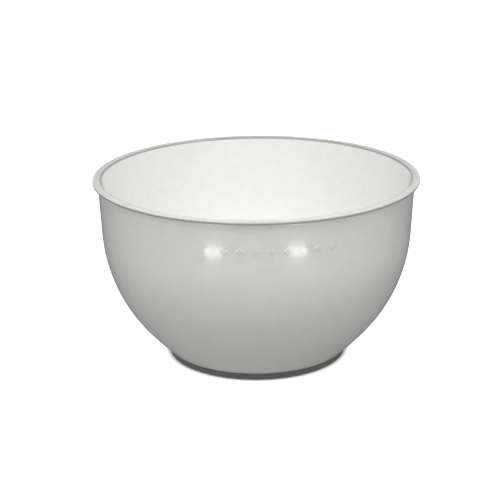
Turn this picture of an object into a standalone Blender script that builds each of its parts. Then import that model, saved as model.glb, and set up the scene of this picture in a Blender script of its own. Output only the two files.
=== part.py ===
"""Hair colour mixing bowl: a thin moulded bowl that stands on a push-on rubber ring.

Frame: metres, +Z up, origin on the standing plane under the bowl's centre.
Both pieces are turned about Z from a half section, so each section is a list of
(radius, height) points worked out from the dimensions below.
"""
import math

import bmesh
import bpy
from mathutils import Matrix, Vector

# Overall size
RIM_RADIUS = 0.0700
HEIGHT = 0.0792
WALL = 0.0016
GAP = 0.0003
SEGMENTS = 72

# Rim: a level flange with a low raised lip along its inner edge
LIP_HEIGHT = 0.0003
LIP_OUTER_RADIUS = 0.0684
FLANGE_TOP = HEIGHT - LIP_HEIGHT
FLANGE_THICKNESS = 0.0010
MOUTH_ROUND = 0.0012

# Outer wall, from the flange down: straight draft, round belly, flatter skirt
WALL_TOP_RADIUS = 0.06787
WALL_DRAFT = math.radians(3.0)
BELLY_TOP = 0.0553
BELLY_RADIUS = 0.0684
BELLY_END_ANGLE = math.radians(41.4)
SKIRT_RADIUS = 0.173

# Base: flat floor, and a foot collar with a snap bead that the ring grips
BASE_UNDERSIDE = 0.0031
BASE_THICKNESS = 0.0020
BASE_EDGE_ROUND = 0.0004
FLOOR_TOP = BASE_UNDERSIDE + BASE_THICKNESS
FLOOR_ROUND = 0.0060
COLLAR_OUTER_RADIUS = 0.0362
COLLAR_INNER_RADIUS = 0.0345
COLLAR_BOTTOM = 0.0013
BEAD_PROUD = 0.00035
BEAD_HEIGHT = 0.0007
GATE_RADIUS = 0.0020
GATE_PROUD = 0.0006
GATE_DISH_RADIUS = 0.0060
GATE_DISH_DEPTH = 0.0004

# Rubber ring, U section, open upwards around the collar
RING_OUTER_RADIUS = 0.03865
RING_INNER_RADIUS = 0.0326
RING_TOP = BASE_UNDERSIDE - GAP
RING_FLOOR = COLLAR_BOTTOM - GAP
RING_ROUND = 0.0004
TREAD_GROOVE_RADIUS = 0.0356
TREAD_GROOVE_HALF_WIDTH = 0.0005
TREAD_GROOVE_DEPTH = 0.0004

# Low raised marks in a row on the front wall
MARK_COUNT = 9
MARK_PITCH = 0.0063
MARK_SIZE = 0.0036
MARK_PROUD = 0.00025
MARK_ROW_HEIGHT = 0.0661
MARK_ROW_SHIFT = 0.0060


def clear_scene():
    for old in list(bpy.data.objects):
        bpy.data.objects.remove(old, do_unlink=True)


def plastic(name, colour, roughness):
    """A non-metal Principled material."""
    material = bpy.data.materials.new(name)
    material.use_nodes = True
    shader = material.node_tree.nodes["Principled BSDF"]
    shader.inputs["Base Color"].default_value = (*colour, 1.0)
    shader.inputs["Roughness"].default_value = roughness
    shader.inputs["Metallic"].default_value = 0.0
    return material


def outer_wall():
    """The outer wall as (radius, height, slope), top to bottom; slope is measured from upright."""
    radius = WALL_TOP_RADIUS
    height = FLANGE_TOP - FLANGE_THICKNESS
    points = [(radius, height, WALL_DRAFT)]
    radius -= (height - BELLY_TOP) * math.tan(WALL_DRAFT)
    height = BELLY_TOP
    points.append((radius, height, WALL_DRAFT))

    belly_steps = 9
    turn = (BELLY_END_ANGLE - WALL_DRAFT) / belly_steps
    slope = WALL_DRAFT
    for _ in range(belly_steps):
        radius -= BELLY_RADIUS * turn * math.sin(slope + turn / 2)
        height -= BELLY_RADIUS * turn * math.cos(slope + turn / 2)
        slope += turn
        points.append((radius, height, slope))

    skirt_steps = 3
    drop = (height - BASE_UNDERSIDE) / skirt_steps
    for _ in range(skirt_steps):
        turn = drop / (SKIRT_RADIUS * math.cos(slope))
        radius -= drop * math.tan(slope + turn / 2)
        height -= drop
        slope += turn
        points.append((radius, height, slope))
    return points


def inner_wall():
    """The outer wall moved in by the wall's thickness, top to bottom, ending above the floor."""
    inner = []
    for radius, height, slope in outer_wall():
        moved = (radius - WALL * math.cos(slope), height + WALL * math.sin(slope))
        if moved[1] > FLOOR_TOP + 0.3 * FLOOR_ROUND:
            inner.append(moved)
    return inner


def rounded(corner, before, after, size, steps):
    """Points that replace a corner with a curve starting and ending `size` away from it."""
    corner = Vector(corner)
    start = corner + (Vector(before) - corner).normalized() * size
    end = corner + (Vector(after) - corner).normalized() * size
    points = []
    for step in range(steps + 1):
        t = step / steps
        point = start * (1 - t) ** 2 + corner * (2 * t * (1 - t)) + end * t**2
        points.append((point.x, point.y))
    return points


def rim_section():
    """From the outer wall's top, out under the flange, round it and over the lip to the mouth."""
    underside = FLANGE_TOP - FLANGE_THICKNESS
    edge_round = 0.0003
    under_edge = (RIM_RADIUS, underside)
    top_edge = (RIM_RADIUS, FLANGE_TOP)
    lip_foot = (LIP_OUTER_RADIUS, FLANGE_TOP)
    lip_shoulder = (LIP_OUTER_RADIUS - LIP_HEIGHT, HEIGHT)
    mouth_top = (inner_wall()[0][0], HEIGHT)
    mouth_wall = inner_wall()[0]
    points = rounded(under_edge, (WALL_TOP_RADIUS, underside), top_edge, edge_round, 1)
    points += rounded(top_edge, under_edge, lip_foot, edge_round, 2)
    points += [lip_foot, lip_shoulder]
    points += rounded(mouth_top, lip_shoulder, mouth_wall, MOUTH_ROUND, 3)
    return points


def base_section():
    """From the skirt's foot in under the base, round the foot collar and on to the gate mark."""
    skirt_foot = outer_wall()[-1][:2]
    above_foot = outer_wall()[-2][:2]
    dish_top = BASE_UNDERSIDE + GATE_DISH_DEPTH
    bead_radius = COLLAR_OUTER_RADIUS + BEAD_PROUD
    points = rounded(skirt_foot, above_foot, (0.0, BASE_UNDERSIDE), BASE_EDGE_ROUND, 2)
    points += [
        (COLLAR_OUTER_RADIUS, BASE_UNDERSIDE),
        (COLLAR_OUTER_RADIUS, COLLAR_BOTTOM + BEAD_HEIGHT),
        (bead_radius, COLLAR_BOTTOM + BEAD_HEIGHT / 2),
        (COLLAR_OUTER_RADIUS, COLLAR_BOTTOM),
        (COLLAR_INNER_RADIUS, COLLAR_BOTTOM),
        (COLLAR_INNER_RADIUS, BASE_UNDERSIDE),
        (GATE_DISH_RADIUS, BASE_UNDERSIDE),
        (GATE_DISH_RADIUS - GATE_DISH_DEPTH, dish_top),
        (GATE_RADIUS, dish_top),
        (GATE_RADIUS, dish_top - GATE_PROUD),
        (0.0, dish_top - GATE_PROUD),
    ]
    return points


def shell_section():
    """The bowl's whole half section, from the floor's centre up the inside and down the outside."""
    inside = inner_wall()
    floor_edge_radius = inside[-1][0] - (inside[-1][1] - FLOOR_TOP)
    floor_edge = (floor_edge_radius, FLOOR_TOP)
    section = [(0.0, FLOOR_TOP)]
    section += rounded(floor_edge, (0.0, FLOOR_TOP), inside[-1], FLOOR_ROUND / 3, 3)
    section += reversed(inside[1:])
    section += reversed(rim_section())
    section += [point[:2] for point in outer_wall()[:-1]]
    section += base_section()
    return section


def ring_section():
    """The rubber ring's closed half section, anticlockwise from its outer bottom edge."""
    outer_leg = COLLAR_OUTER_RADIUS + GAP
    bead_pocket = outer_leg + BEAD_PROUD
    inner_leg = COLLAR_INNER_RADIUS - GAP
    groove_out = TREAD_GROOVE_RADIUS + TREAD_GROOVE_HALF_WIDTH
    groove_in = TREAD_GROOVE_RADIUS - TREAD_GROOVE_HALF_WIDTH
    bottom_edge = (RING_OUTER_RADIUS, 0.0)
    top_edge = (RING_OUTER_RADIUS, RING_TOP)
    section = rounded(bottom_edge, (groove_out, 0.0), top_edge, RING_ROUND, 2)
    section += rounded(top_edge, bottom_edge, (outer_leg, RING_TOP), RING_ROUND, 2)
    section += [
        (outer_leg, RING_TOP),
        (outer_leg, COLLAR_BOTTOM + BEAD_HEIGHT + GAP),
        (bead_pocket, COLLAR_BOTTOM + BEAD_HEIGHT / 2),
        (outer_leg, RING_FLOOR),
        (inner_leg, RING_FLOOR),
        (inner_leg, RING_TOP),
        (RING_INNER_RADIUS, RING_TOP),
        (RING_INNER_RADIUS, 0.0),
        (groove_in, 0.0),
        (groove_in, TREAD_GROOVE_DEPTH),
        (groove_out, TREAD_GROOVE_DEPTH),
        (groove_out, 0.0),
    ]
    return section


def turned(name, section, closed, material):
    """Spin a half section once around Z into one closed body with its faces pointing out."""
    body = bmesh.new()
    verts = [body.verts.new((radius, 0.0, height)) for radius, height in section]
    edges = [body.edges.new(pair) for pair in zip(verts, verts[1:])]
    if closed:
        edges.append(body.edges.new((verts[-1], verts[0])))
    bmesh.ops.spin(
        body,
        geom=verts + edges,
        axis=(0.0, 0.0, 1.0),
        cent=(0.0, 0.0, 0.0),
        steps=SEGMENTS,
        angle=2 * math.pi,
        use_merge=True,
    )
    bmesh.ops.remove_doubles(body, verts=body.verts[:], dist=1e-6)
    bmesh.ops.recalc_face_normals(body, faces=body.faces[:])
    mesh = bpy.data.meshes.new(name)
    body.to_mesh(mesh)
    body.free()
    mesh.shade_smooth()
    mesh.set_sharp_from_angle(angle=math.radians(35))
    mesh.materials.append(material)
    turned_object = bpy.data.objects.new(name, mesh)
    bpy.context.collection.objects.link(turned_object)
    return turned_object


def add_marks(shell, material):
    """Raise a row of plain diamonds on the front wall, as part of the moulding."""
    body = bmesh.new()
    wall_radius = WALL_TOP_RADIUS - (FLANGE_TOP - MARK_ROW_HEIGHT) * math.tan(WALL_DRAFT)
    depth = 0.0010
    side = MARK_SIZE / math.sqrt(2)
    for index in range(MARK_COUNT):
        along = (index - (MARK_COUNT - 1) / 2) * MARK_PITCH + MARK_ROW_SHIFT
        place = (
            Matrix.Rotation(along / wall_radius, 4, "Z")
            @ Matrix.Translation((0.0, -wall_radius - MARK_PROUD + depth / 2, MARK_ROW_HEIGHT))
            @ Matrix.Rotation(WALL_DRAFT, 4, "X")
            @ Matrix.Rotation(math.radians(45), 4, "Y")
            @ Matrix.Diagonal((side, depth, side, 1.0))
        )
        bmesh.ops.create_cube(body, size=1.0, matrix=place)
    mesh = bpy.data.meshes.new("mark_row")
    body.to_mesh(mesh)
    body.free()
    mesh.materials.append(material)
    marks = bpy.data.objects.new("mark_row", mesh)
    bpy.context.collection.objects.link(marks)
    marks.hide_render = True
    marks.display_type = "WIRE"
    union = shell.modifiers.new("raised_marks", "BOOLEAN")
    union.operation = "UNION"
    union.solver = "EXACT"
    union.object = marks


def build():
    clear_scene()
    grey_plastic = plastic("frosted_grey_plastic", (0.78, 0.77, 0.74), 0.35)
    dark_rubber = plastic("dark_grey_rubber", (0.09, 0.085, 0.08), 0.75)
    shell = turned("bowl_shell", shell_section(), False, grey_plastic)
    add_marks(shell, grey_plastic)
    turned("non_slip_ring", ring_section(), True, dark_rubber)


build()
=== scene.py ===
"""Looks for the hair colour mixing bowl: fine turned surfaces, materials, light and camera."""

import math

import bmesh
import bpy
from mathutils import Matrix, Quaternion, Vector


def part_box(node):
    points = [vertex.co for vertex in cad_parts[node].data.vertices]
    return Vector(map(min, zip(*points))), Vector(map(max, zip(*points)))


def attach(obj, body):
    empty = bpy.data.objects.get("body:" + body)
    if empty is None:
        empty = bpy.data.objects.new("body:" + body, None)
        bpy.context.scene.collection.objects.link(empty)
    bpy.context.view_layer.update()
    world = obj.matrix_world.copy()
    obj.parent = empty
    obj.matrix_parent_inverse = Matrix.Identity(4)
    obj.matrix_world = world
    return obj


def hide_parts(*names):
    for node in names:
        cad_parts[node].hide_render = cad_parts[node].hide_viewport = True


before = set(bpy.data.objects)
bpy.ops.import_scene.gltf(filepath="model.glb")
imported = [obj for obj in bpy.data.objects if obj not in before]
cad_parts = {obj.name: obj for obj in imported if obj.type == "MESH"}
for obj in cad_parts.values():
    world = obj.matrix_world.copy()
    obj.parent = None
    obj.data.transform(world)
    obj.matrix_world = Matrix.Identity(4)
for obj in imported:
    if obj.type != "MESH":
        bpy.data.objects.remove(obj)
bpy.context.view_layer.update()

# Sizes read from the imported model
SHELL_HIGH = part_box("bowl_shell")[1]
RING_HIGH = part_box("non_slip_ring")[1]
RIM_RADIUS = SHELL_HIGH[0]
HEIGHT = SHELL_HIGH[2]
RING_OUTER_RADIUS = RING_HIGH[0]
RING_TOP = RING_HIGH[2]

# The same design rules as the solid model
WALL = 0.0016
GAP = 0.0003
LIP_HEIGHT = 0.0003
LIP_OUTER_RADIUS = 0.0684
FLANGE_TOP = HEIGHT - LIP_HEIGHT
FLANGE_THICKNESS = 0.0010
MOUTH_ROUND = 0.0012
WALL_TOP_RADIUS = 0.06787
WALL_DRAFT = math.radians(3.0)
BELLY_TOP = 0.0553
BELLY_RADIUS = 0.0684
BELLY_END_ANGLE = math.radians(41.4)
SKIRT_RADIUS = 0.173
BASE_UNDERSIDE = RING_TOP + GAP
BASE_THICKNESS = 0.0020
BASE_EDGE_ROUND = 0.0004
FLOOR_TOP = BASE_UNDERSIDE + BASE_THICKNESS
FLOOR_ROUND = 0.0060
COLLAR_OUTER_RADIUS = 0.0362
COLLAR_INNER_RADIUS = 0.0345
COLLAR_BOTTOM = 0.0013
BEAD_PROUD = 0.00035
BEAD_HEIGHT = 0.0007
GATE_RADIUS = 0.0020
GATE_PROUD = 0.0006
GATE_DISH_RADIUS = 0.0060
GATE_DISH_DEPTH = 0.0004
RING_INNER_RADIUS = 0.0326
RING_ROUND = 0.0004
TREAD_GROOVE_RADIUS = 0.0356
TREAD_GROOVE_HALF_WIDTH = 0.0005
TREAD_GROOVE_DEPTH = 0.0004
MARK_COUNT = 9
MARK_PITCH = 0.0063
MARK_SIZE = 0.0036
MARK_PROUD = 0.00025
MARK_DEPTH = 0.0008
MARK_ROW_HEIGHT = 0.0661
MARK_ROW_SHIFT = 0.0060

# Small rounds that the solid model leaves out
COVE_ROUND = 0.0006
FLANGE_EDGE_ROUND = 0.00018
LIP_FOOT_ROUND = 0.00015
LIP_SHOULDER_ROUND = 0.0002
COLLAR_ROOT_ROUND = 0.0006
GATE_DISH_ROUND = 0.0003
GATE_ROUND = 0.0002
RING_INNER_ROUND = 0.0003
MARK_EDGE_ROUND = 0.00018

# Fineness of the visible surfaces, and the angles in degrees past which an edge stays sharp
SEGMENTS = 288
BELLY_STEPS = 34
SKIRT_STEPS = 12
WALL_STEPS = 12
SHELL_SHARP_ANGLE = 20
RING_SHARP_ANGLE = 35

# Heights where the rim's clearer plastic, painted darker as shade, starts, and the radii and
# heights between which its painted shade turns, at the mouth and at the flange's outer edge
RIM_START = FLANGE_TOP - FLANGE_THICKNESS - COVE_ROUND
RIM_LIP_START = HEIGHT - 0.0009
RIM_MOUTH_BAND = (0.0669, 0.0672)
RIM_EDGE_BAND = (FLANGE_TOP - 0.00006, FLANGE_TOP - 0.00001)

# Colours
PLASTIC_DARK = (0.785, 0.787, 0.772)
PLASTIC_LIGHT = (0.815, 0.817, 0.802)
# The rim's colours are painted shade: darker than the wall, most of all at the flange's edge, in
# the fillet under it and at the mouth
RIM_EDGE_PAINTED_SHADE = (0.360, 0.358, 0.346)
RIM_MOUTH_PAINTED_SHADE = (0.320, 0.318, 0.307)
RIM_TOP_PAINTED_SHADE = (0.620, 0.617, 0.602)
RUBBER_DARK = (0.176, 0.168, 0.158)
RUBBER_LIGHT = (0.229, 0.219, 0.206)

# Sizes of the materials' features, and the share of lamp light that clear plastic lets past
PLASTIC_GRAIN = 0.0006
PLASTIC_CLOUDS = 0.004
SCATTER_DEPTH = 0.0025
RUBBER_GRAIN = 0.0005
RUBBER_DUST = 0.002
LIGHT_PASSED = 0.9

# Studio
FLOOR_HALF_SIZE = 6.0
CONTACT_SHADOW_REACH = 0.0022
SURROUND_STRENGTH = 0.205
SOFT_LIGHT_DISTANCE = 1.5
BOWL_MIDDLE = Vector((0.0, 0.0, 0.045))
WHITE = (1.0, 1.0, 1.0)
WARM = (1.0, 0.980, 0.945)
COOL = (0.955, 1.01, 1.06)

# Soft lights: name, azimuth and elevation in degrees, side in metres, watts, colour, and
# whether glossy surfaces mirror it. Azimuth is 0 on the camera's side, and grows to its right.
SOFT_LIGHTS = (
    ("top", 0.0, 90.0, 1.6, 8.0, WHITE, False),
    ("front_high", 0.0, 68.0, 1.0, 14.2, WHITE, False),
    ("front_low", 0.0, 25.0, 1.0, 4.8, WARM, False),
    ("front_left", -48.0, 44.0, 0.5, 2.7, WARM, True),
    ("front_right", 48.0, 42.0, 0.5, 3.5, WARM, True),
    ("back_high", 180.0, 52.0, 1.2, 6.5, COOL, False),
    ("back_low", 180.0, 15.0, 1.2, 2.0, COOL, False),
    ("under_left", -90.0, -35.0, 1.2, 4.4, COOL, False),
    ("under_right", 90.0, -35.0, 1.2, 2.4, COOL, False),
    ("under_back", 180.0, -35.0, 1.2, 3.2, COOL, False),
)

# Strip lights that show only as the two bright spots on the front: name, place, aim
GLINT_LIGHTS = (
    ("glint_left", (-0.0935, -0.1902, 0.0), (-0.0169, -0.0650, 0.0657)),
    ("glint_right", (0.0889, -0.1931, 0.0), (0.0159, -0.0653, 0.0659)),
)
GLINT_WIDTH = 0.040
GLINT_HEIGHT = 0.003
GLINT_POWER = 0.0066

# Camera, as a place, a point it looks at, and a small roll
CAMERA_PLACE = Vector((0.0, -0.6156, 0.2486))
CAMERA_AIM = Vector((-0.0029, 0.0, 0.0449))
CAMERA_ROLL = -0.00942
CAMERA_LENS = 106.96


# ---------------------------------------------------------------- sections

def outer_wall():
    """The outer wall as (radius, height, slope), top to bottom; slope is measured from upright."""
    radius = WALL_TOP_RADIUS
    height = FLANGE_TOP - FLANGE_THICKNESS
    fall = (height - BELLY_TOP) / WALL_STEPS
    points = [(radius, height, WALL_DRAFT)]
    for _ in range(WALL_STEPS):
        radius -= fall * math.tan(WALL_DRAFT)
        height -= fall
        points.append((radius, height, WALL_DRAFT))

    turn = (BELLY_END_ANGLE - WALL_DRAFT) / BELLY_STEPS
    slope = WALL_DRAFT
    for _ in range(BELLY_STEPS):
        radius -= BELLY_RADIUS * turn * math.sin(slope + turn / 2)
        height -= BELLY_RADIUS * turn * math.cos(slope + turn / 2)
        slope += turn
        points.append((radius, height, slope))

    drop = (height - BASE_UNDERSIDE) / SKIRT_STEPS
    for _ in range(SKIRT_STEPS):
        turn = drop / (SKIRT_RADIUS * math.cos(slope))
        radius -= drop * math.tan(slope + turn / 2)
        height -= drop
        slope += turn
        points.append((radius, height, slope))
    return points


def inner_wall():
    """The outer wall moved in by the wall's thickness, top to bottom, ending above the floor."""
    inner = []
    for radius, height, slope in outer_wall():
        moved = (radius - WALL * math.cos(slope), height + WALL * math.sin(slope))
        if moved[1] > FLOOR_TOP + 0.3 * FLOOR_ROUND:
            inner.append(moved)
    return inner


def rounded(corner, before, after, size, steps):
    """Points that replace a corner with a curve starting and ending `size` away from it."""
    corner = Vector(corner)
    start = corner + (Vector(before) - corner).normalized() * size
    end = corner + (Vector(after) - corner).normalized() * size
    points = []
    for step in range(steps + 1):
        t = step / steps
        point = start * (1 - t) ** 2 + corner * (2 * t * (1 - t)) + end * t**2
        points.append((point.x, point.y))
    return points


def rim_section():
    """From the outer wall, out under the flange, round its edge and over the lip to the mouth."""
    underside = FLANGE_TOP - FLANGE_THICKNESS
    cove = (WALL_TOP_RADIUS, underside)
    under_edge = (RIM_RADIUS, underside)
    top_edge = (RIM_RADIUS, FLANGE_TOP)
    lip_foot = (LIP_OUTER_RADIUS, FLANGE_TOP)
    lip_shoulder = (LIP_OUTER_RADIUS - LIP_HEIGHT, HEIGHT)
    mouth_wall = inner_wall()[0]
    mouth_top = (mouth_wall[0], HEIGHT)
    points = rounded(cove, outer_wall()[1][:2], under_edge, COVE_ROUND, 6)
    points += rounded(under_edge, cove, top_edge, FLANGE_EDGE_ROUND, 5)
    points += rounded(top_edge, under_edge, lip_foot, FLANGE_EDGE_ROUND, 5)
    points += rounded(lip_foot, top_edge, lip_shoulder, LIP_FOOT_ROUND, 3)
    points += rounded(lip_shoulder, lip_foot, mouth_top, LIP_SHOULDER_ROUND, 3)
    points += rounded(mouth_top, lip_shoulder, mouth_wall, MOUTH_ROUND, 10)
    return points


def base_section():
    """From the skirt's foot in under the base, round the foot collar and on to the gate mark."""
    skirt_foot = outer_wall()[-1][:2]
    above_foot = outer_wall()[-2][:2]
    dish_top = BASE_UNDERSIDE + GATE_DISH_DEPTH
    gate_bottom = dish_top - GATE_PROUD
    bead_radius = COLLAR_OUTER_RADIUS + BEAD_PROUD
    points = rounded(skirt_foot, above_foot, (0.0, BASE_UNDERSIDE), BASE_EDGE_ROUND, 5)
    points += [
        (COLLAR_OUTER_RADIUS, BASE_UNDERSIDE),
        (COLLAR_OUTER_RADIUS, COLLAR_BOTTOM + BEAD_HEIGHT),
        (bead_radius, COLLAR_BOTTOM + BEAD_HEIGHT / 2),
        (COLLAR_OUTER_RADIUS, COLLAR_BOTTOM),
        (COLLAR_INNER_RADIUS, COLLAR_BOTTOM),
    ]
    points += rounded(
        (COLLAR_INNER_RADIUS, BASE_UNDERSIDE),
        (COLLAR_INNER_RADIUS, COLLAR_BOTTOM),
        (0.0, BASE_UNDERSIDE),
        COLLAR_ROOT_ROUND,
        5,
    )
    points += rounded(
        (GATE_DISH_RADIUS, BASE_UNDERSIDE),
        (COLLAR_INNER_RADIUS, BASE_UNDERSIDE),
        (GATE_DISH_RADIUS - GATE_DISH_DEPTH, dish_top),
        GATE_DISH_ROUND,
        3,
    )
    points += [(GATE_DISH_RADIUS - GATE_DISH_DEPTH, dish_top), (GATE_RADIUS, dish_top)]
    points += rounded(
        (GATE_RADIUS, gate_bottom), (GATE_RADIUS, dish_top), (0.0, gate_bottom), GATE_ROUND, 3
    )
    points.append((0.0, gate_bottom))
    return points


def shell_section():
    """The bowl's whole half section, from the floor's centre up the inside and down the outside."""
    inside = inner_wall()
    floor_edge_radius = inside[-1][0] - (inside[-1][1] - FLOOR_TOP)
    floor_edge = (floor_edge_radius, FLOOR_TOP)
    section = [(0.0, FLOOR_TOP), (floor_edge_radius / 2, FLOOR_TOP)]
    section += rounded(floor_edge, (0.0, FLOOR_TOP), inside[-1], FLOOR_ROUND / 3, 8)
    section += reversed(inside[1:])
    section += reversed(rim_section())
    section += [point[:2] for point in outer_wall()[1:-1]]
    section += base_section()
    return section


def ring_section():
    """The rubber ring's closed half section, anticlockwise from its outer bottom edge."""
    outer_leg = COLLAR_OUTER_RADIUS + GAP
    bead_pocket = outer_leg + BEAD_PROUD
    inner_leg = COLLAR_INNER_RADIUS - GAP
    groove_out = TREAD_GROOVE_RADIUS + TREAD_GROOVE_HALF_WIDTH
    groove_in = TREAD_GROOVE_RADIUS - TREAD_GROOVE_HALF_WIDTH
    ring_floor = COLLAR_BOTTOM - GAP
    bottom_edge = (RING_OUTER_RADIUS, 0.0)
    top_edge = (RING_OUTER_RADIUS, RING_TOP)
    inner_top = (RING_INNER_RADIUS, RING_TOP)
    inner_bottom = (RING_INNER_RADIUS, 0.0)
    section = rounded(bottom_edge, (groove_out, 0.0), top_edge, RING_ROUND, 5)
    section += rounded(top_edge, bottom_edge, (outer_leg, RING_TOP), RING_ROUND, 5)
    section += [
        (outer_leg, RING_TOP),
        (outer_leg, COLLAR_BOTTOM + BEAD_HEIGHT + GAP),
        (bead_pocket, COLLAR_BOTTOM + BEAD_HEIGHT / 2),
        (outer_leg, ring_floor),
        (inner_leg, ring_floor),
        (inner_leg, RING_TOP),
    ]
    section += rounded(inner_top, (inner_leg, RING_TOP), inner_bottom, RING_INNER_ROUND, 4)
    section += rounded(inner_bottom, inner_top, (groove_in, 0.0), RING_INNER_ROUND, 4)
    section += [
        (groove_in, 0.0),
        (groove_in, TREAD_GROOVE_DEPTH),
        (groove_out, TREAD_GROOVE_DEPTH),
        (groove_out, 0.0),
    ]
    return section


# ---------------------------------------------------------------- meshes

def turned(name, section, closed):
    """Spin a half section once round Z into a body; `closed` joins the section's two ends."""
    body = bmesh.new()
    verts = [body.verts.new((radius, 0.0, height)) for radius, height in section]
    edges = [body.edges.new(pair) for pair in zip(verts, verts[1:])]
    if closed:
        edges.append(body.edges.new((verts[-1], verts[0])))
    bmesh.ops.spin(
        body,
        geom=verts + edges,
        axis=(0.0, 0.0, 1.0),
        cent=(0.0, 0.0, 0.0),
        steps=SEGMENTS,
        angle=2 * math.pi,
        use_merge=True,
    )
    bmesh.ops.remove_doubles(body, verts=body.verts[:], dist=1e-7)
    bmesh.ops.recalc_face_normals(body, faces=body.faces[:])
    mesh = bpy.data.meshes.new(name)
    body.to_mesh(mesh)
    body.free()
    piece = bpy.data.objects.new(name, mesh)
    bpy.context.collection.objects.link(piece)
    return piece


def mark_row(material):
    """Bevelled diamonds set along the front wall, mostly sunk in it, as one mesh to join on."""
    body = bmesh.new()
    wall_radius = WALL_TOP_RADIUS - (FLANGE_TOP - MARK_ROW_HEIGHT) * math.tan(WALL_DRAFT)
    middle = MARK_DEPTH / 2 - MARK_PROUD - wall_radius
    side = MARK_SIZE / math.sqrt(2)
    for index in range(MARK_COUNT):
        along = (index - (MARK_COUNT - 1) / 2) * MARK_PITCH + MARK_ROW_SHIFT
        upright = Matrix.Rotation(along / wall_radius, 4, "Z")
        place = (
            upright
            @ Matrix.Translation((0.0, middle, MARK_ROW_HEIGHT))
            @ Matrix.Rotation(WALL_DRAFT, 4, "X")
            @ Matrix.Rotation(math.radians(45), 4, "Y")
            @ Matrix.Diagonal((side, MARK_DEPTH, side, 1.0))
        )
        made = bmesh.ops.create_cube(body, size=1.0, matrix=place)
        outward = upright.to_3x3() @ Vector((0.0, -1.0, 0.0))
        front = set(sorted(made["verts"], key=lambda vert: -vert.co.dot(outward))[:4])
        edges = {edge for vert in front for edge in vert.link_edges if set(edge.verts) <= front}
        bmesh.ops.bevel(
            body,
            geom=list(edges),
            offset=MARK_EDGE_ROUND,
            segments=2,
            profile=0.5,
            affect="EDGES",
        )
    mesh = bpy.data.meshes.new("mark_row")
    body.to_mesh(mesh)
    body.free()
    mesh.materials.append(material)
    marks = bpy.data.objects.new("mark_row", mesh)
    bpy.context.collection.objects.link(marks)
    return marks


def join_marks(shell, marks):
    """Unite the marks with the bowl, keeping their material, then drop the helper object."""
    union = shell.modifiers.new("raised_marks", "BOOLEAN")
    union.operation = "UNION"
    union.solver = "EXACT"
    union.material_mode = "TRANSFER"
    union.object = marks
    graph = bpy.context.evaluated_depsgraph_get()
    united = bpy.data.meshes.new_from_object(shell.evaluated_get(graph))
    shell.modifiers.remove(union)
    shell.data = united
    bpy.data.objects.remove(marks, do_unlink=True)


def give_rim_its_material(shell, slot):
    """Put that material slot on the flange, the fillet under it, and the lip's top."""
    for face in shell.data.polygons:
        radius = math.hypot(face.center.x, face.center.y)
        on_flange = radius > WALL_TOP_RADIUS - WALL / 2 and face.center.z > RIM_START
        if on_flange or face.center.z > RIM_LIP_START:
            face.material_index = slot


def smooth(piece, sharp_angle):
    """Shade smooth, keeping edges sharper than that many degrees."""
    piece.data.shade_smooth()
    piece.data.set_sharp_from_angle(angle=math.radians(sharp_angle))


# ---------------------------------------------------------------- materials

def new_material(name):
    """A new node material, with its tree and its main shader."""
    material = bpy.data.materials.new(name)
    material.use_nodes = True
    tree = material.node_tree
    return material, tree, tree.nodes["Principled BSDF"]


def object_coordinates(tree):
    """Where a point is on its own object, in metres."""
    return tree.nodes.new("ShaderNodeTexCoord").outputs["Object"]


def noise(tree, coordinates, feature_size):
    """Noise whose features are about `feature_size` metres across."""
    node = tree.nodes.new("ShaderNodeTexNoise")
    node.inputs["Scale"].default_value = 1.0 / feature_size
    node.inputs["Detail"].default_value = 3.0
    tree.links.new(coordinates, node.inputs["Vector"])
    return node.outputs["Fac"]


def ranged(tree, value, low, high, from_low=0.3, from_high=0.7):
    """Map `value` to `low`..`high`, clamped; the usual source range is that of noise."""
    node = tree.nodes.new("ShaderNodeMapRange")
    node.inputs["From Min"].default_value = from_low
    node.inputs["From Max"].default_value = from_high
    node.inputs["To Min"].default_value = low
    node.inputs["To Max"].default_value = high
    tree.links.new(value, node.inputs["Value"])
    return node.outputs["Result"]


def blended(tree, factor, first, second):
    """Mix two colours, where the second may be another node's output."""
    node = tree.nodes.new("ShaderNodeMix")
    node.data_type = "RGBA"
    tree.links.new(factor, node.inputs["Factor"])
    node.inputs["A"].default_value = (*first, 1.0)
    if isinstance(second, bpy.types.NodeSocket):
        tree.links.new(second, node.inputs["B"])
    else:
        node.inputs["B"].default_value = (*second, 1.0)
    return node.outputs["Result"]


def height_and_radius(tree, where):
    """How high a point is, and how far from the bowl's upright axis."""
    split = tree.nodes.new("ShaderNodeSeparateXYZ")
    tree.links.new(where, split.inputs["Vector"])
    flat = tree.nodes.new("ShaderNodeCombineXYZ")
    tree.links.new(split.outputs["X"], flat.inputs["X"])
    tree.links.new(split.outputs["Y"], flat.inputs["Y"])
    length = tree.nodes.new("ShaderNodeVectorMath")
    length.operation = "LENGTH"
    tree.links.new(flat.outputs["Vector"], length.inputs[0])
    return split.outputs["Z"], length.outputs["Value"]


def bumped(tree, shader, height, distance):
    """Raise the surface by up to `distance` metres, as `height` says."""
    node = tree.nodes.new("ShaderNodeBump")
    node.inputs["Strength"].default_value = 1.0
    node.inputs["Distance"].default_value = distance
    tree.links.new(height, node.inputs["Height"])
    tree.links.new(node.outputs["Normal"], shader.inputs["Normal"])


def finish_plastic(tree, shader, where, roughness, bump):
    """What the wall, rim and marks share: frosted grain, a fine gloss over it, and depth."""
    grain = noise(tree, where, PLASTIC_GRAIN)
    tree.links.new(ranged(tree, grain, roughness - 0.03, roughness + 0.03),
                   shader.inputs["Roughness"])
    bumped(tree, shader, grain, bump)
    shader.inputs["Subsurface Weight"].default_value = 1.0
    shader.inputs["Subsurface Radius"].default_value = (1.0, 0.97, 0.92)
    shader.inputs["Subsurface Scale"].default_value = SCATTER_DEPTH
    shader.inputs["IOR"].default_value = 1.49
    shader.inputs["Coat Weight"].default_value = 1.0
    shader.inputs["Coat Roughness"].default_value = 0.10


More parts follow.
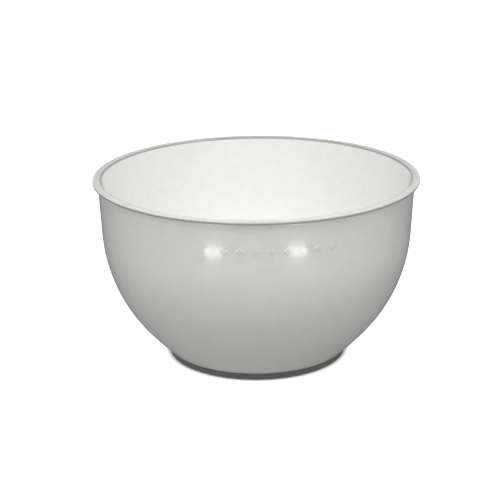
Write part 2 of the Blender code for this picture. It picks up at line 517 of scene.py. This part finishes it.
def pass_lamp_light(tree, shader):
    """Let most lamp light straight through thin clear plastic, so it casts only a faint shadow."""
    path = tree.nodes.new("ShaderNodeLightPath")
    share = tree.nodes.new("ShaderNodeMath")
    share.operation = "MULTIPLY"
    share.inputs[1].default_value = LIGHT_PASSED
    tree.links.new(path.outputs["Is Shadow Ray"], share.inputs[0])
    passing = tree.nodes.new("ShaderNodeBsdfTransparent")
    mix = tree.nodes.new("ShaderNodeMixShader")
    tree.links.new(share.outputs["Value"], mix.inputs["Fac"])
    tree.links.new(shader.outputs["BSDF"], mix.inputs[1])
    tree.links.new(passing.outputs["BSDF"], mix.inputs[2])
    tree.links.new(mix.outputs["Shader"], tree.nodes["Material Output"].inputs["Surface"])


def frosted_plastic(name, roughness, bump):
    """Milky frosted plastic with a fine grain and slight cloudiness."""
    material, tree, shader = new_material(name)
    where = object_coordinates(tree)
    clouds = ranged(tree, noise(tree, where, PLASTIC_CLOUDS), 0.0, 1.0)
    tree.links.new(blended(tree, clouds, PLASTIC_DARK, PLASTIC_LIGHT), shader.inputs["Base Color"])
    finish_plastic(tree, shader, where, roughness, bump)
    return material


def rim_plastic_with_painted_shade(name, roughness, bump):
    """The same plastic where clearer, painted darker as shade, most of all at its edge and the
    mouth.
    """
    material, tree, shader = new_material(name)
    where = object_coordinates(tree)
    height, radius = height_and_radius(tree, where)
    # Painted shade: the colour darkens at the mouth, at the flange's edge and in the fillet under
    # it
    past_mouth = ranged(tree, radius, 0.0, 1.0, *RIM_MOUTH_BAND)
    on_top = ranged(tree, height, 0.0, 1.0, *RIM_EDGE_BAND)
    top = blended(tree, past_mouth, RIM_MOUTH_PAINTED_SHADE, RIM_TOP_PAINTED_SHADE)
    tree.links.new(blended(tree, on_top, RIM_EDGE_PAINTED_SHADE, top), shader.inputs["Base Color"])
    finish_plastic(tree, shader, where, roughness, bump)
    pass_lamp_light(tree, shader)
    return material


def clear_mark_plastic(name, roughness, bump):
    """The frosted plastic where it stands proud: smoother, and passing lamp light."""
    material = frosted_plastic(name, roughness, bump)
    tree = material.node_tree
    pass_lamp_light(tree, tree.nodes["Principled BSDF"])
    return material


def ring_rubber(name):
    """Dark grey rubber with a dusty, finely pitted face."""
    material, tree, shader = new_material(name)
    where = object_coordinates(tree)
    grain = noise(tree, where, RUBBER_GRAIN)
    dust = noise(tree, where, RUBBER_DUST)
    colour = blended(tree, ranged(tree, grain, 0.0, 1.0), RUBBER_DARK, RUBBER_LIGHT)
    tree.links.new(colour, shader.inputs["Base Color"])
    tree.links.new(ranged(tree, dust, 0.62, 0.78), shader.inputs["Roughness"])
    bumped(tree, shader, grain, 0.00004)
    return material


def floor_material():
    """A white table that glows as if lit from below, with a painted contact shadow: its glow fades
    close to whatever stands on it.
    """
    material, tree, shader = new_material("studio_floor")
    shader.inputs["Base Color"].default_value = (0.35, 0.35, 0.35, 1.0)
    shader.inputs["Roughness"].default_value = 0.9
    shader.inputs["Specular IOR Level"].default_value = 0.0
    shader.inputs["Emission Color"].default_value = (1.0, 1.0, 1.0, 1.0)
    contact_shadow_occlusion = tree.nodes.new("ShaderNodeAmbientOcclusion")
    contact_shadow_occlusion.inputs["Distance"].default_value = CONTACT_SHADOW_REACH
    # Painted contact shadow: the glow dims where the occlusion finds something within reach
    glow_with_painted_shadow = ranged(tree, contact_shadow_occlusion.outputs["AO"], 0.25, 0.95, 0.5, 1.0)
    tree.links.new(glow_with_painted_shadow, shader.inputs["Emission Strength"])
    return material


# ---------------------------------------------------------------- studio

def area_light(name, place, aim, width, height, power, colour, mirrored):
    """A rectangular light that the camera doesn't see; `mirrored` lets glossy surfaces show it."""
    data = bpy.data.lights.new(name, "AREA")
    data.shape = "RECTANGLE"
    data.size = width
    data.size_y = height
    data.energy = power
    data.color = colour
    light = bpy.data.objects.new(name, data)
    light.location = place
    light.rotation_mode = "QUATERNION"
    light.rotation_quaternion = (Vector(place) - Vector(aim)).to_track_quat("Z", "Y")
    light.visible_camera = False
    light.visible_glossy = mirrored
    bpy.context.collection.objects.link(light)
    return light


def soft_light(name, azimuth, elevation, size, power, colour, mirrored):
    """A big square light aimed at the bowl from that direction."""
    turn = math.radians(azimuth)
    rise = math.radians(elevation)
    direction = Vector((math.sin(turn) * math.cos(rise), -math.cos(turn) * math.cos(rise),
                        math.sin(rise)))
    place = BOWL_MIDDLE + direction * SOFT_LIGHT_DISTANCE
    area_light(name, place, BOWL_MIDDLE, size, size, power, colour, mirrored)


def glint_light(name, place, aim):
    """A small strip light that shows only as a reflection in glossy surfaces."""
    size = (GLINT_WIDTH, GLINT_HEIGHT)
    light = area_light(name, place, aim, *size, GLINT_POWER, WARM, mirrored=True)
    light.visible_diffuse = False


def add_floor():
    """A wide flat table, which gives the bowl no light and no reflection."""
    mesh = bpy.data.meshes.new("floor")
    half = FLOOR_HALF_SIZE
    corners = [(-half, -half, 0.0), (half, -half, 0.0), (half, half, 0.0), (-half, half, 0.0)]
    mesh.from_pydata(corners, [], [(0, 1, 2, 3)])
    mesh.materials.append(floor_material())
    floor = bpy.data.objects.new("floor", mesh)
    bpy.context.collection.objects.link(floor)
    floor.visible_diffuse = False
    floor.visible_glossy = False
    floor.visible_shadow = False


def add_world(strength):
    """A dim even surround for the bowl, which the camera itself sees as plain white."""
    world = bpy.data.worlds.new("studio")
    world.use_nodes = True
    tree = world.node_tree
    background = tree.nodes["Background"]
    background.inputs["Color"].default_value = (*WHITE, 1.0)
    path = tree.nodes.new("ShaderNodeLightPath")
    seen = ranged(tree, path.outputs["Is Camera Ray"], strength, 1.0, 0.0, 1.0)
    tree.links.new(seen, background.inputs["Strength"])
    bpy.context.scene.world = world


def add_camera():
    """The camera at the set place, looking at its aim, turned a little about its own axis."""
    data = bpy.data.cameras.new("camera")
    data.lens = CAMERA_LENS
    data.sensor_width = 36.0
    data.clip_start = 0.01
    data.clip_end = 20.0
    camera = bpy.data.objects.new("camera", data)
    looking = (CAMERA_AIM - CAMERA_PLACE).to_track_quat("-Z", "Y")
    camera.location = CAMERA_PLACE
    camera.rotation_mode = "QUATERNION"
    camera.rotation_quaternion = looking @ Quaternion((0.0, 0.0, 1.0), CAMERA_ROLL)
    bpy.context.collection.objects.link(camera)
    bpy.context.scene.camera = camera


# ---------------------------------------------------------------- the scene

def build_bowl():
    """Both pieces, each in place of its CAD node."""
    wall_plastic = frosted_plastic("frosted_plastic", roughness=0.34, bump=0.000006)
    # The rim's material is painted darker as shade along the flange's edge, under it and at the
    # mouth
    rim_plastic = rim_plastic_with_painted_shade("rim_plastic_with_painted_shade", roughness=0.30, bump=0.000004)
    mark_plastic = clear_mark_plastic("clear_mark_plastic", roughness=0.14, bump=0.000002)
    shell = turned("fine_bowl_shell", shell_section(), closed=False)
    shell.data.materials.append(wall_plastic)
    join_marks(shell, mark_row(mark_plastic))
    shell.data.materials.append(rim_plastic)
    give_rim_its_material(shell, len(shell.data.materials) - 1)
    smooth(shell, SHELL_SHARP_ANGLE)
    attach(shell, "root")
    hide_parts("bowl_shell")

    ring = turned("fine_non_slip_ring", ring_section(), closed=True)
    ring.data.materials.append(ring_rubber("ring_rubber"))
    smooth(ring, RING_SHARP_ANGLE)
    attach(ring, "root")
    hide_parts("non_slip_ring")


def build_studio():
    """Floor, surround, lights and camera."""
    add_floor()
    add_world(SURROUND_STRENGTH)
    for light in SOFT_LIGHTS:
        soft_light(*light)
    for light in GLINT_LIGHTS:
        glint_light(*light)
    add_camera()
    bpy.context.scene.view_settings.view_transform = "Standard"


build_bowl()
build_studio()
